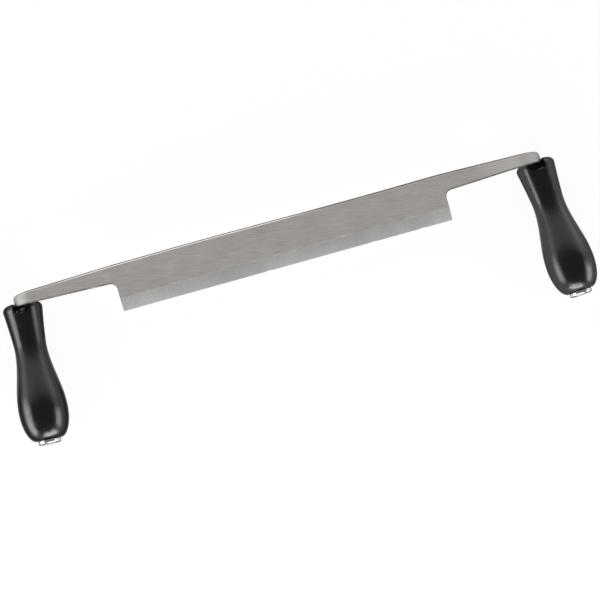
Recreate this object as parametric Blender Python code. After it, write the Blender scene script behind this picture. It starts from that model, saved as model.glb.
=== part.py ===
"""Straight drawknife for stripping bark, built as its five real pieces.

Tool frame before the tool is set down: X along the blade, Y from the cutting edge to the spine and
Z out of the bevelled face. The line of the cutting edge is Y = 0 and the bevelled face is Z = 0.
The tool is then set down on its handles, bevel up, with the origin under the middle of it.
"""
import math

import bmesh
import bpy
from mathutils import Matrix, Vector

# Blade, in metres.
EDGE_LENGTH = 0.250
BLADE_DEPTH = 0.035
BLADE_THICKNESS = 0.004
BEVEL_WIDTH = 0.0095
EDGE_LAND = 0.00015
RIM_CHAMFER = 0.0006

# Arms: from the blade's ends out to the rolled ends, which swell outwards to a knuckle.
ARM_REACH = 0.0743
ARM_ROOT_DEPTH = 0.0134
ARM_TIP_DEPTH = 0.0076
SHOULDER_FILLET = 0.0055
ROLL_RADIUS = 0.013
KNUCKLE = 0.0026
KNUCKLE_FOOT = 0.0008

# Handles: turned, all radii and places measured from the top of the handle.
HANDLE_LENGTH = 0.102
HANDLE_DROP = 0.0083
SPLAY = math.radians(3.0)
CROWN_RADIUS = 0.0147
CROWN_ROUND = 0.004
NECK_RADIUS = 0.0119
NECK_AT = 0.0325
NECK_HOLLOW = 1.3
BELLY_RADIUS = 0.0181
BELLY_AT = 0.080
BUTT_RADIUS = 0.0088

# Notch in the handle's top and the tang that goes down from it.
NOTCH_WIDTH = 0.0126
NOTCH_DEPTH = 0.007
NOTCH_ROUND = 0.003
RELIEF_BACK = 0.004
ARM_LAP = 0.0025
TANG_WIDTH = 0.008
TANG_LEDGE = 0.001
TANG_FILLET = 0.0015

# Riveted end: a round spigot spread into the washer's countersink and dressed flush.
SPIGOT_RADIUS = 0.0022
SPIGOT_LENGTH = 0.004
WASHER_RADIUS = 0.0083
WASHER_THICKNESS = 0.0026
WASHER_ROUND = 0.0004
RIVET_RADIUS = 0.0040
RIVET_DEPTH = 0.0014

# Fits.
SEAT_GAP = 0.0003
NOTCH_GAP = 0.0004

# Fineness of the round stretches.
ROLL_STEPS = 12
FILLET_STEPS = 7
LATHE_STEPS = 56

# Worked out from the sizes above.
ROLL_LINE_X = EDGE_LENGTH / 2 + ARM_REACH - ROLL_RADIUS * math.cos(SPLAY)
ROLL_LENGTH = ROLL_RADIUS * math.pi / 2
TANG_OUT = ROLL_RADIUS - BLADE_THICKNESS / 2
ROLL_LINE_Y = BLADE_DEPTH - HANDLE_DROP - TANG_OUT * math.sin(SPLAY)
ROOT_WIDTH = TANG_WIDTH + 2 * TANG_LEDGE
NOTCH_OUTER = BLADE_THICKNESS / 2 + KNUCKLE + NOTCH_GAP
NOTCH_INNER = NOTCH_WIDTH - NOTCH_OUTER
# The handles rise this much towards their butts, so that the tool lies level on crowns and bellies.
RISE = math.atan2(BELLY_RADIUS - CROWN_RADIUS, BELLY_AT - CROWN_ROUND)
ROOT_END = NOTCH_DEPTH - SEAT_GAP
TANG_END = HANDLE_LENGTH - SPIGOT_LENGTH
WASHER_TOP = HANDLE_LENGTH + SEAT_GAP
WASHER_BOTTOM = WASHER_TOP + WASHER_THICKNESS


def axis_setback():
    """How far the handle's axis lies behind the bevelled face.

    The crown has to clear the arm's back at the notch's inner wall, and the tang's root has to
    start behind the end of the roll.
    """
    inner = ROLL_RADIUS - BLADE_THICKNESS
    into_roll = max(0.0, TANG_OUT - NOTCH_INNER)
    turn = math.asin(min(1.0, into_roll / inner))
    arm_back = ROLL_RADIUS - inner * math.cos(turn)
    crown_front = math.sqrt(CROWN_RADIUS ** 2 - min(NOTCH_INNER, CROWN_RADIUS) ** 2)
    behind_arm = arm_back + crown_front + SEAT_GAP
    behind_roll = ROLL_RADIUS + ROOT_WIDTH / 2 + SEAT_GAP
    return max(behind_arm, behind_roll)


AXIS_SETBACK = axis_setback()
TANG_RUN = ROLL_LENGTH + AXIS_SETBACK - ROLL_RADIUS


def new_object(name, mesh, material, parent):
    obj = bpy.data.objects.new(name, mesh)
    bpy.context.scene.collection.objects.link(obj)
    obj.parent = parent
    if material:
        mesh.materials.append(material)
    return obj


def principled(name, colour, metallic, roughness):
    material = bpy.data.materials.new(name)
    material.use_nodes = True
    shader = material.node_tree.nodes["Principled BSDF"]
    shader.inputs["Base Color"].default_value = (*colour, 1.0)
    shader.inputs["Metallic"].default_value = metallic
    shader.inputs["Roughness"].default_value = roughness
    return material


def finish_mesh(mesh, sharp_angle):
    mesh.shade_smooth()
    mesh.set_sharp_from_angle(angle=math.radians(sharp_angle))


def combine(obj, tools, operation):
    """Cut or join the tool objects into obj for good, and remove them."""
    for tool in tools:
        modifier = obj.modifiers.new(tool.name, 'BOOLEAN')
        modifier.operation = operation
        modifier.solver = 'EXACT'
        modifier.object = tool
    bpy.context.view_layer.update()
    evaluated = obj.evaluated_get(bpy.context.evaluated_depsgraph_get())
    mesh = bpy.data.meshes.new_from_object(evaluated)
    obj.modifiers.clear()
    obj.data = mesh
    for tool in tools:
        bpy.data.objects.remove(tool)


def fillet(before, corner, after, radius):
    """Points of the arc that rounds a corner between two straight lines."""
    to_before = (before - corner).normalized()
    to_after = (after - corner).normalized()
    half = to_before.angle(to_after) / 2
    centre = corner + (to_before + to_after).normalized() * (radius / math.sin(half))
    start = corner + to_before * (radius / math.tan(half)) - centre
    sweep = start.angle_signed(corner + to_after * (radius / math.tan(half)) - centre)
    return [centre + Matrix.Rotation(-sweep * i / FILLET_STEPS, 2) @ start for i in range(FILLET_STEPS + 1)]


def lathe(profile):
    """Closed body turned about Z from (radius, height) points that start and end on the axis."""
    bm = bmesh.new()
    verts = [bm.verts.new((radius, 0.0, height)) for radius, height in profile]
    edges = [bm.edges.new(pair) for pair in zip(verts, verts[1:])]
    bmesh.ops.spin(bm, geom=verts + edges, cent=(0, 0, 0), axis=(0, 0, 1), dvec=(0, 0, 0),
                   angle=2 * math.pi, steps=LATHE_STEPS, use_merge=True, use_duplicate=False)
    bmesh.ops.remove_doubles(bm, verts=bm.verts, dist=1e-6)
    bmesh.ops.recalc_face_normals(bm, faces=bm.faces)
    mesh = bpy.data.meshes.new("turned")
    bm.to_mesh(mesh)
    bm.free()
    return mesh


def prism(outline, back, front):
    """Closed block with an outline in X and Z, from back to front along Y."""
    bm = bmesh.new()
    face = bm.faces.new([bm.verts.new((p.x, back, p.y)) for p in outline])
    extruded = bmesh.ops.extrude_face_region(bm, geom=[face])["geom"]
    moved = [item for item in extruded if isinstance(item, bmesh.types.BMVert)]
    bmesh.ops.translate(bm, verts=moved, vec=(0, front - back, 0))
    bmesh.ops.recalc_face_normals(bm, faces=bm.faces)
    mesh = bpy.data.meshes.new("block")
    bm.to_mesh(mesh)
    bm.free()
    return mesh


def flat_point(run, fall):
    """Place on the flat blank, right half, from run past the roll line and fall along it."""
    x = ROLL_LINE_X + run * math.cos(SPLAY) + fall * math.sin(SPLAY)
    y = ROLL_LINE_Y + run * math.sin(SPLAY) - fall * math.cos(SPLAY)
    return Vector((x, y))


def tang_point(down, front):
    """Place on the flat blank from the distance down the handle's axis and in front of it."""
    run = TANG_RUN - down * math.sin(RISE) - front * math.cos(RISE)
    fall = down * math.cos(RISE) - front * math.sin(RISE)
    return flat_point(run, fall)


def half_outline():
    """Right half of the blank, from the blade's upper corner round the tang to the cutting edge."""
    half_edge = EDGE_LENGTH / 2
    spine = Vector((half_edge, BLADE_DEPTH))
    leg_back = -ROOT_WIDTH / 2
    leg_top = tang_point(ARM_LAP - ARM_TIP_DEPTH, leg_back)
    root_back = tang_point(ROOT_END, leg_back)
    tang = [tang_point(ROOT_END, -TANG_WIDTH / 2), tang_point(TANG_END, -TANG_WIDTH / 2),
            tang_point(TANG_END, TANG_WIDTH / 2), tang_point(ROOT_END, TANG_WIDTH / 2)]
    root_front = tang_point(ROOT_END, ROOT_WIDTH / 2)
    leg_low = tang_point(ARM_LAP, ROOT_WIDTH / 2)
    shoulder = Vector((half_edge, BLADE_DEPTH - ARM_ROOT_DEPTH))
    bevel_end = Vector((half_edge, BEVEL_WIDTH))
    edge_end = Vector((half_edge, 0.0))
    return [spine, *fillet(spine, leg_top, root_back, TANG_LEDGE), root_back, *tang, root_front,
            *fillet(root_front, leg_low, shoulder, TANG_FILLET),
            *fillet(leg_low, shoulder, bevel_end, SHOULDER_FILLET), bevel_end, edge_end]


def past_roll(point):
    """How far a point of the blank lies past the line where the roll starts."""
    return (abs(point.x) - ROLL_LINE_X) * math.cos(SPLAY) + (point.y - ROLL_LINE_Y) * math.sin(SPLAY)


def rolled(point):
    """Carry a point of the flat blank to its place on the rolled blade.

    The outer face swells round the roll, stays proud down the leg and slopes back to the tang at its foot.
    """
    side = math.copysign(1.0, point.x)
    run = past_roll(point)
    fall = (abs(point.x) - ROLL_LINE_X) * math.sin(SPLAY) - (point.y - ROLL_LINE_Y) * math.cos(SPLAY)
    if run <= 0.0:
        return point.copy()
    down = fall * math.cos(RISE) + (TANG_RUN - run) * math.sin(RISE)
    above_foot = min(1.0, max(0.0, (ROOT_END - down) / KNUCKLE_FOOT))
    swell = KNUCKLE * above_foot * (1 + point.z / BLADE_THICKNESS)
    radius = ROLL_RADIUS + point.z
    turn = min(run, ROLL_LENGTH) / ROLL_RADIUS
    out = (radius + swell) * math.sin(turn)
    z = radius * math.cos(turn) - ROLL_RADIUS - max(0.0, run - ROLL_LENGTH)
    x = ROLL_LINE_X + out * math.cos(SPLAY) + fall * math.sin(SPLAY)
    y = ROLL_LINE_Y + out * math.sin(SPLAY) - fall * math.cos(SPLAY)
    return Vector((side * x, y, z))


def on_rim(edge):
    """Edges of the bevelled face's rim that are chamfered: spine, arms and shoulders."""
    if any(abs(v.co.z) > 1e-6 for v in edge.verts):
        return False
    if any(abs(face.normal.z) < 0.5 for face in edge.link_faces) is False:
        return False
    middle = (edge.verts[0].co + edge.verts[1].co) / 2
    return middle.y > BEVEL_WIDTH + SHOULDER_FILLET / 2 and past_roll(middle) < ROLL_LENGTH


def leg_geometry(bm, side):
    """All of one end that lies past the roll."""
    verts = {vert for vert in bm.verts if vert.co.x * side > 0 and past_roll(vert.co) > ROLL_LENGTH - 1e-6}
    edges = [edge for edge in bm.edges if verts.issuperset(edge.verts)]
    faces = [face for face in bm.faces if verts.issuperset(face.verts)]
    return [*verts, *edges, *faces]


def blade_mesh():
    right = half_outline()
    outline = right + [Vector((-p.x, p.y)) for p in reversed(right)]
    bm = bmesh.new()
    face = bm.faces.new([bm.verts.new((p.x, p.y, -BLADE_THICKNESS)) for p in outline])
    extruded = bmesh.ops.extrude_face_region(bm, geom=[face])["geom"]
    front_verts = [item for item in extruded if isinstance(item, bmesh.types.BMVert)]
    bmesh.ops.translate(bm, verts=front_verts, vec=(0, 0, BLADE_THICKNESS))
    # Bevel: split the front along the bevel line and drop the edge's front corners to the back.
    front = next(item for item in extruded if isinstance(item, bmesh.types.BMFace))
    bevel_line = [v for v in front_verts if abs(v.co.y - BEVEL_WIDTH) < 1e-6
                  and abs(abs(v.co.x) - EDGE_LENGTH / 2) < 1e-6]
    bmesh.utils.face_split(front, *bevel_line)
    for vert in front_verts:
        if abs(vert.co.y) < 1e-6 and abs(abs(vert.co.x) - EDGE_LENGTH / 2) < 1e-6:
            vert.co.z = EDGE_LAND - BLADE_THICKNESS
    bmesh.ops.recalc_face_normals(bm, faces=bm.faces)
    rim = [edge for edge in bm.edges if on_rim(edge)]
    bmesh.ops.bevel(bm, geom=rim, offset=RIM_CHAMFER, segments=1, profile=0.5, affect='EDGES',
                    clamp_overlap=True)
    # Lines across both arms' ends, along which the roll turns.
    for side in (1, -1):
        across = Vector((side * math.cos(SPLAY), math.sin(SPLAY), 0))
        start = Vector((side * ROLL_LINE_X, ROLL_LINE_Y, 0))
        for step in range(ROLL_STEPS + 1):
            line = start + across * (ROLL_LENGTH * step / ROLL_STEPS)
            bmesh.ops.bisect_plane(bm, geom=bm.verts[:] + bm.edges[:] + bm.faces[:], dist=1e-7,
                                   plane_co=line, plane_no=across)
        # Two lines across the leg, between which the knuckle's foot slopes back to the tang.
        along = tang_point(1.0, 0.0) - tang_point(0.0, 0.0)
        for down in (ROOT_END - KNUCKLE_FOOT, ROOT_END):
            foot = tang_point(down, 0.0)
            bmesh.ops.bisect_plane(bm, geom=leg_geometry(bm, side), dist=1e-7,
                                   plane_co=(side * foot.x, foot.y, 0),
                                   plane_no=(side * along.x, along.y, 0))
    for vert in bm.verts:
        vert.co = rolled(vert.co)
    bmesh.ops.recalc_face_normals(bm, faces=bm.faces)
    mesh = bpy.data.meshes.new("blade")
    bm.to_mesh(mesh)
    bm.free()
    return mesh


def handle_profile():
    """Half outline of the handle, from the crown's middle down to the butt's."""
    crown_flat = CROWN_RADIUS - CROWN_ROUND
    points = [(0.0, 0.0)]
    for step in range(8):
        turn = math.pi / 2 * step / 7
        points.append((crown_flat + CROWN_ROUND * math.sin(turn), CROWN_ROUND * (math.cos(turn) - 1)))
    for step in range(1, 10):
        part = step / 9
        radius = NECK_RADIUS + (CROWN_RADIUS - NECK_RADIUS) * (1 - part) ** NECK_HOLLOW
        points.append((radius, -CROWN_ROUND - (NECK_AT - CROWN_ROUND) * part))
    for step in range(1, 15):
        part = step / 14
        swell = (1 - math.cos(math.pi * part)) / 2
        points.append((NECK_RADIUS + (BELLY_RADIUS - NECK_RADIUS) * swell,
                       -NECK_AT - (BELLY_AT - NECK_AT) * part))
    for step in range(1, 13):
        turn = math.pi / 2 * step / 12
        points.append((BUTT_RADIUS + (BELLY_RADIUS - BUTT_RADIUS) * math.cos(turn),
                       -BELLY_AT - (HANDLE_LENGTH - BELLY_AT) * math.sin(turn)))
    points.append((0.0, -HANDLE_LENGTH))
    return points


def handle_frame(side):
    """Frame on the handle's top: Z up its axis, Y to the front, so that X points to tool -X."""
    down = Vector((side * math.sin(SPLAY) * math.cos(RISE), -math.cos(SPLAY) * math.cos(RISE),
                   math.sin(RISE)))
    outward = Vector((side * math.cos(SPLAY), math.sin(SPLAY), 0))
    x_axis = outward * -side
    y_axis = (-down).cross(x_axis)
    frame = Matrix((x_axis, y_axis, -down)).transposed().to_4x4()
    frame.translation = (side * (ROLL_LINE_X + TANG_OUT * math.cos(SPLAY)),
                         ROLL_LINE_Y + TANG_OUT * math.sin(SPLAY), -AXIS_SETBACK)
    return frame


def relief_mesh(side):
    """Tool for the notch's shallow part: it clears the roll, its floor rounded up to the inner wall."""
    outer = -side * NOTCH_OUTER
    inner = side * NOTCH_INNER
    corner = Vector((inner, -NOTCH_DEPTH))
    floor_end = Vector((outer, -NOTCH_DEPTH))
    wall_top = Vector((inner, CROWN_ROUND))
    outline = [Vector((outer, CROWN_ROUND)), floor_end,
               *fillet(floor_end, corner, wall_top, NOTCH_ROUND), wall_top]
    return prism(outline, RELIEF_BACK, CROWN_RADIUS + CROWN_ROUND)


def pocket_mesh(side):
    """Tool for the notch's deep part, in which the tang's root sits."""
    outer = -side * NOTCH_OUTER
    inner = side * (BLADE_THICKNESS / 2 + NOTCH_GAP)
    outline = [Vector((outer, CROWN_ROUND)), Vector((outer, -NOTCH_DEPTH)), Vector((inner, -NOTCH_DEPTH)),
               Vector((inner, CROWN_ROUND))]
    return prism(outline, -ROOT_WIDTH / 2 - SEAT_GAP, CROWN_RADIUS + CROWN_ROUND)


def mortise_mesh():
    """Tool for the tang's hole, right through the handle."""
    half = BLADE_THICKNESS / 2 + SEAT_GAP
    low = -HANDLE_LENGTH - CROWN_ROUND
    outline = [Vector((-half, low)), Vector((half, low)), Vector((half, CROWN_ROUND)),
               Vector((-half, CROWN_ROUND))]
    return prism(outline, -TANG_WIDTH / 2 - SEAT_GAP, TANG_WIDTH / 2 + SEAT_GAP)


def make_handle(name, side, material, parent):
    handle = new_object(name, lathe(handle_profile()), material, parent)
    relief = new_object("relief_tool", relief_mesh(side), None, parent)
    pocket = new_object("pocket_tool", pocket_mesh(side), None, parent)
    mortise = new_object("mortise_tool", mortise_mesh(), None, parent)
    combine(handle, [relief, pocket, mortise], 'DIFFERENCE')
    finish_mesh(handle.data, 40)
    handle.matrix_local = handle_frame(side)
    return handle


def spigot_profile():
    """Spigot from inside the tang's end to the rivet head, flush with the washer's face."""
    inside = -TANG_END + SPIGOT_LENGTH
    neck = -WASHER_BOTTOM + RIVET_DEPTH
    return [(0.0, inside), (SPIGOT_RADIUS, inside), (SPIGOT_RADIUS, neck),
            (RIVET_RADIUS, -WASHER_BOTTOM), (0.0, -WASHER_BOTTOM)]


def washer_mesh():
    """Washer turned about the handle's axis, with a countersunk hole and rounded rims."""
    hole = SPIGOT_RADIUS + SEAT_GAP
    sink = RIVET_RADIUS + SEAT_GAP
    rim = WASHER_RADIUS - WASHER_ROUND
    top, bottom = -WASHER_TOP, -WASHER_BOTTOM
    outline = [(hole, top), (rim, top), (WASHER_RADIUS, top - WASHER_ROUND),
               (WASHER_RADIUS, bottom + WASHER_ROUND), (rim, bottom), (sink, bottom),
               (hole, bottom + RIVET_DEPTH), (hole, top)]
    return lathe(outline)


def make_blade(material, parent):
    blade = new_object("blade", blade_mesh(), material, parent)
    spigots = []
    for side in (1, -1):
        spigot = new_object("spigot_tool", lathe(spigot_profile()), None, parent)
        spigot.matrix_local = handle_frame(side)
        spigots.append(spigot)
    combine(blade, spigots, 'UNION')
    finish_mesh(blade.data, 25)
    return blade


def make_washer(name, side, material, parent):
    washer = new_object(name, washer_mesh(), material, parent)
    finish_mesh(washer.data, 30)
    washer.matrix_local = handle_frame(side)
    return washer


def set_down(frame, pieces):
    """Lower the tool onto the floor and centre it over the origin."""
    bpy.context.view_layer.update()
    points = [piece.matrix_world @ vert.co for piece in pieces for vert in piece.data.vertices]
    low = [min(p[i] for p in points) for i in range(3)]
    high = [max(p[i] for p in points) for i in range(3)]
    frame.location = (-(low[0] + high[0]) / 2, -(low[1] + high[1]) / 2, -low[2])
    bpy.context.view_layer.update()


for old in list(bpy.data.objects):
    bpy.data.objects.remove(old, do_unlink=True)

ground_steel = principled("ground_steel", (0.33, 0.32, 0.30), 1.0, 0.38)
black_lacquer = principled("black_lacquer", (0.012, 0.012, 0.013), 0.0, 0.28)
bright_steel = principled("bright_steel", (0.62, 0.62, 0.60), 1.0, 0.18)

tool = bpy.data.objects.new("drawknife", None)
bpy.context.scene.collection.objects.link(tool)
pieces = [make_blade(ground_steel, tool)]
for hand, sign in (("left", -1), ("right", 1)):
    pieces.append(make_handle(hand + "_handle", sign, black_lacquer, tool))
    pieces.append(make_washer(hand + "_rivet_washer", sign, bright_steel, tool))
set_down(tool, pieces)
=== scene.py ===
"""Dressed model of a straight drawknife for stripping bark.

Each section makes one piece of the tool in the order in which it is put together. All sizes are in
metres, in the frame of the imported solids.
"""
import math

import bmesh
import bpy
from mathutils import Matrix, Vector


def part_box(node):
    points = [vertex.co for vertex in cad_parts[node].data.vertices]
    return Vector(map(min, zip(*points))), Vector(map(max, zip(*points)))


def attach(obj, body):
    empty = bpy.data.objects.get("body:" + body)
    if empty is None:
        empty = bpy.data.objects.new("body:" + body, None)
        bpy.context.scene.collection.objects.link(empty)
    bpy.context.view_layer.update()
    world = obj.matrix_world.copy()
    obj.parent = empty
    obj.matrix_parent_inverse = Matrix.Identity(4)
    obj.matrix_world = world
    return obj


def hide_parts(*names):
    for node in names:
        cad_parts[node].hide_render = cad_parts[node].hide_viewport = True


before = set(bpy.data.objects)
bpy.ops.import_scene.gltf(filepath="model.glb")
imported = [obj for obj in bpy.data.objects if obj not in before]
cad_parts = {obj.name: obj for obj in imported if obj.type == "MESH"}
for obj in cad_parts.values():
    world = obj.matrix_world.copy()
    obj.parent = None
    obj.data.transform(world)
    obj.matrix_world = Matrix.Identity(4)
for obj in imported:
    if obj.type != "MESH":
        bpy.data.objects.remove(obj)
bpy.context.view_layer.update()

# Blade: one strip of tool steel, sheared with its two arms, ground flat and bevelled by hand along
# the cutting edge. Both ends are rolled down a quarter turn and upset to a knuckle, from which the
# tangs run through the handles to the butts, where their round ends are riveted into the washers.
EDGE_LENGTH = 0.250
BLADE_DEPTH = 0.035
BLADE_THICKNESS = 0.004
BEVEL_WIDTH = 0.0095
EDGE_LAND = 0.00015
SEAM_WIDTH = 0.0011
SPINE_ROUND = 0.0018
SPINE_STEPS = 6
RIM_ROUND = 0.0006
BACK_ROUND = 0.0004
RIM_STEPS = 4
ROUND_PROFILE = 0.5
UPPER_RIM_ENDS = (0.84, 0.90)
LOWER_RIM_END = 0.08
NICK_PLACES = (-0.016, 0.064, 0.102)
NICK_DEPTH = 0.00045
BEVEL_WAVES = ((0.00030, 0.075, 0.110), (0.00012, 0.020, 0.037), (0.00008, 0.0, 0.0131))
SPINE_WAVE = 0.00035
SPINE_WAVE_LENGTH = 0.260
ARM_REACH = 0.0743
ARM_ROOT_DEPTH = 0.0134
ARM_TIP_DEPTH = 0.0076
SHOULDER_FILLET = 0.0055
ROLL_RADIUS = 0.013
KNUCKLE = 0.0026
KNUCKLE_FOOT = 0.0008
ARM_LAP = 0.0025
TANG_WIDTH = 0.008
TANG_LEDGE = 0.001
TANG_FILLET = 0.0015
HANDLE_LENGTH = 0.102
HANDLE_DROP = 0.0083
AXIS_SETBACK = 0.0183
NOTCH_DEPTH = 0.007
SPLAY = math.radians(3.0)
RISE = math.radians(2.56)
SEAT_GAP = 0.0003
SPIGOT_RADIUS = 0.0022
SPIGOT_LENGTH = 0.004
RIVET_RADIUS = 0.0040
RIVET_DEPTH = 0.0014
WASHER_THICKNESS = 0.0026
STATIONS = 100
FILLET_STEPS = 12
ROLL_STEPS = 30
SPIGOT_STEPS = 48
BLADE_SHARP = 24
WELD = 1e-7
SLIVER = 0.00002

ROLL_LINE_X = EDGE_LENGTH / 2 + ARM_REACH - ROLL_RADIUS * math.cos(SPLAY)
ROLL_LENGTH = ROLL_RADIUS * math.pi / 2
TANG_OUT = ROLL_RADIUS - BLADE_THICKNESS / 2
TANG_RUN = ROLL_LENGTH + AXIS_SETBACK - ROLL_RADIUS
ROLL_LINE_Y = BLADE_DEPTH - HANDLE_DROP - TANG_OUT * math.sin(SPLAY)
ROOT_WIDTH = TANG_WIDTH + 2 * TANG_LEDGE
ROOT_END = NOTCH_DEPTH - SEAT_GAP
TANG_END = HANDLE_LENGTH - SPIGOT_LENGTH
WASHER_TOP = HANDLE_LENGTH + SEAT_GAP
WASHER_BOTTOM = WASHER_TOP + WASHER_THICKNESS

# In the tool's own frame the cutting edge lies along X at Y = 0 and the bevelled face at Z = 0.
_, blade_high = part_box("blade")
tool_frame = Matrix.Translation((0.0, blade_high.y - BLADE_DEPTH, blade_high.z))


def handle_frame(side):
    """Frame on a handle's top: Z up its axis, Y to the front and X to the tool's left."""
    rising = math.cos(RISE)
    down = Vector((side * math.sin(SPLAY) * rising, -math.cos(SPLAY) * rising, math.sin(RISE)))
    x_axis = Vector((-math.cos(SPLAY), -side * math.sin(SPLAY), 0.0))
    y_axis = (-down).cross(x_axis)
    placed = Matrix((x_axis, y_axis, -down)).transposed().to_4x4()
    placed.translation = (side * (ROLL_LINE_X + TANG_OUT * math.cos(SPLAY)),
                          ROLL_LINE_Y + TANG_OUT * math.sin(SPLAY), -AXIS_SETBACK)
    return tool_frame @ placed


def corner_arc(before, corner, after, radius):
    """Points of the arc that rounds a corner between two straight lines."""
    to_before = (before - corner).normalized()
    to_after = (after - corner).normalized()
    half = to_before.angle(to_after) / 2
    centre = corner + (to_before + to_after).normalized() * (radius / math.sin(half))
    start = corner + to_before * (radius / math.tan(half)) - centre
    sweep = start.angle_signed(corner + to_after * (radius / math.tan(half)) - centre)
    turns = [-sweep * step / FILLET_STEPS for step in range(FILLET_STEPS + 1)]
    return [centre + Matrix.Rotation(turn, 2) @ start for turn in turns]


def turned(name, profile, steps):
    """Closed mesh turned about Z from (radius, height) points."""
    bm = bmesh.new()
    verts = [bm.verts.new((radius, 0.0, height)) for radius, height in profile]
    edges = [bm.edges.new(pair) for pair in zip(verts, verts[1:])]
    bmesh.ops.spin(bm, geom=verts + edges, cent=(0, 0, 0), axis=(0, 0, 1), dvec=(0, 0, 0),
                   angle=2 * math.pi, steps=steps, use_merge=True, use_duplicate=False)
    bmesh.ops.remove_doubles(bm, verts=bm.verts, dist=WELD)
    bmesh.ops.recalc_face_normals(bm, faces=bm.faces)
    mesh = bpy.data.meshes.new(name)
    bm.to_mesh(mesh)
    bm.free()
    return mesh


def placed_object(name, mesh, matrix):
    obj = bpy.data.objects.new(name, mesh)
    bpy.context.scene.collection.objects.link(obj)
    obj.matrix_world = matrix
    return obj


def combine(obj, tools, operation):
    """Cut or join the tool objects into obj for good, and remove them."""
    for tool in tools:
        modifier = obj.modifiers.new(tool.name, 'BOOLEAN')
        modifier.operation = operation
        modifier.solver = 'EXACT'
        modifier.material_mode = 'TRANSFER'
        modifier.object = tool
    bpy.context.view_layer.update()
    evaluated = obj.evaluated_get(bpy.context.evaluated_depsgraph_get())
    mesh = bpy.data.meshes.new_from_object(evaluated)
    bm = bmesh.new()
    bm.from_mesh(mesh)
    bmesh.ops.dissolve_degenerate(bm, dist=SLIVER, edges=bm.edges)
    bm.to_mesh(mesh)
    bm.free()
    obj.modifiers.clear()
    obj.data = mesh
    for tool in tools:
        bpy.data.objects.remove(tool)


def flat_shading(obj, sharp_angle):
    """Smooth rounds beside truly flat faces."""
    obj.data.shade_smooth()
    obj.data.set_sharp_from_angle(angle=math.radians(sharp_angle))
    weighted = obj.modifiers.new("flat_faces", 'WEIGHTED_NORMAL')
    weighted.keep_sharp = True


def tang_point(down, front):
    """Place on the flat blank, right half, from the way down the handle's axis and in front of it."""
    run = TANG_RUN - down * math.sin(RISE) - front * math.cos(RISE)
    fall = down * math.cos(RISE) - front * math.sin(RISE)
    return Vector((ROLL_LINE_X + run * math.cos(SPLAY) + fall * math.sin(SPLAY),
                   ROLL_LINE_Y + run * math.sin(SPLAY) - fall * math.cos(SPLAY)))


def bevel_line(x):
    """Hand-ground line where the bevel meets the face, from waves of a height, a start and a length."""
    return BEVEL_WIDTH + sum(height * math.sin(2 * math.pi * (x + start) / length)
                             for height, start, length in BEVEL_WAVES)


def edge_line(x):
    """Cutting edge: straight but for a few small nicks of use."""
    station = EDGE_LENGTH / STATIONS
    return NICK_DEPTH if any(abs(x - place) < station / 2 for place in NICK_PLACES) else 0.0


def spine_line(x):
    """Back of the blade: ground a little fuller on the left, and true again at its ends."""
    ends = 1.0 - (2 * x / EDGE_LENGTH) ** 4
    return BLADE_DEPTH - ends * SPINE_WAVE * math.sin(2 * math.pi * x / SPINE_WAVE_LENGTH)


def half_blank():
    """Right half of the blank, from the spine's end round the tang to the cutting edge."""
    half_edge = EDGE_LENGTH / 2
    spine_end = Vector((half_edge, BLADE_DEPTH))
    leg_top = tang_point(ARM_LAP - ARM_TIP_DEPTH, -ROOT_WIDTH / 2)
    root_back = tang_point(ROOT_END, -ROOT_WIDTH / 2)
    tang = [tang_point(ROOT_END, -TANG_WIDTH / 2), tang_point(TANG_END, -TANG_WIDTH / 2),
            tang_point(TANG_END, TANG_WIDTH / 2), tang_point(ROOT_END, TANG_WIDTH / 2)]
    root_front = tang_point(ROOT_END, ROOT_WIDTH / 2)
    leg_low = tang_point(ARM_LAP, ROOT_WIDTH / 2)
    shoulder = Vector((half_edge, BLADE_DEPTH - ARM_ROOT_DEPTH))
    edge_end = Vector((half_edge, 0.0))
    upper_rim = [spine_end.lerp(leg_top, part) for part in UPPER_RIM_ENDS]
    lower_rim = [leg_low.lerp(shoulder, LOWER_RIM_END)]
    return [spine_end, *upper_rim, *corner_arc(spine_end, leg_top, root_back, TANG_LEDGE), root_back,
            *tang, root_front, *corner_arc(root_front, leg_low, shoulder, TANG_FILLET), *lower_rim,
            *corner_arc(leg_low, shoulder, edge_end, SHOULDER_FILLET)]


def past_roll(point):
    """How far a point of the blank lies past the line where the roll starts."""
    return (abs(point.x) - ROLL_LINE_X) * math.cos(SPLAY) + (point.y - ROLL_LINE_Y) * math.sin(SPLAY)


def rolled(point):
    """Carry a point of the flat blank to its place on the rolled blade."""
    run = past_roll(point)
    if run <= 0.0:
        return point.copy()
    offset_x = abs(point.x) - ROLL_LINE_X
    fall = offset_x * math.sin(SPLAY) - (point.y - ROLL_LINE_Y) * math.cos(SPLAY)
    down = fall * math.cos(RISE) + (TANG_RUN - run) * math.sin(RISE)
    above_foot = min(1.0, max(0.0, (ROOT_END - down) / KNUCKLE_FOOT))
    swell = KNUCKLE * above_foot * (1 + point.z / BLADE_THICKNESS)
    radius = ROLL_RADIUS + point.z
    turn = min(run, ROLL_LENGTH) / ROLL_RADIUS
    out = (radius + swell) * math.sin(turn)
    x = ROLL_LINE_X + out * math.cos(SPLAY) + fall * math.sin(SPLAY)
    y = ROLL_LINE_Y + out * math.sin(SPLAY) - fall * math.cos(SPLAY)
    z = radius * math.cos(turn) - ROLL_RADIUS - max(0.0, run - ROLL_LENGTH)
    return Vector((math.copysign(x, point.x), y, z))


# Faces of the flat blank are told apart by their normals: the tilts by Z, and the spine's two by Y.
FACE_SLOT, BEVEL_SLOT, SIDE_SLOT, RIM_SLOT, ROOT_SLOT, RIVET_SLOT = range(6)
FLAT_TILT = 0.985
RIM_TILT = 0.85
BEVEL_TILT = 0.8
UPRIGHT_TILT = 0.3
SPINE_SIDE = 0.5
SPINE_RIM = 0.05


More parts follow.
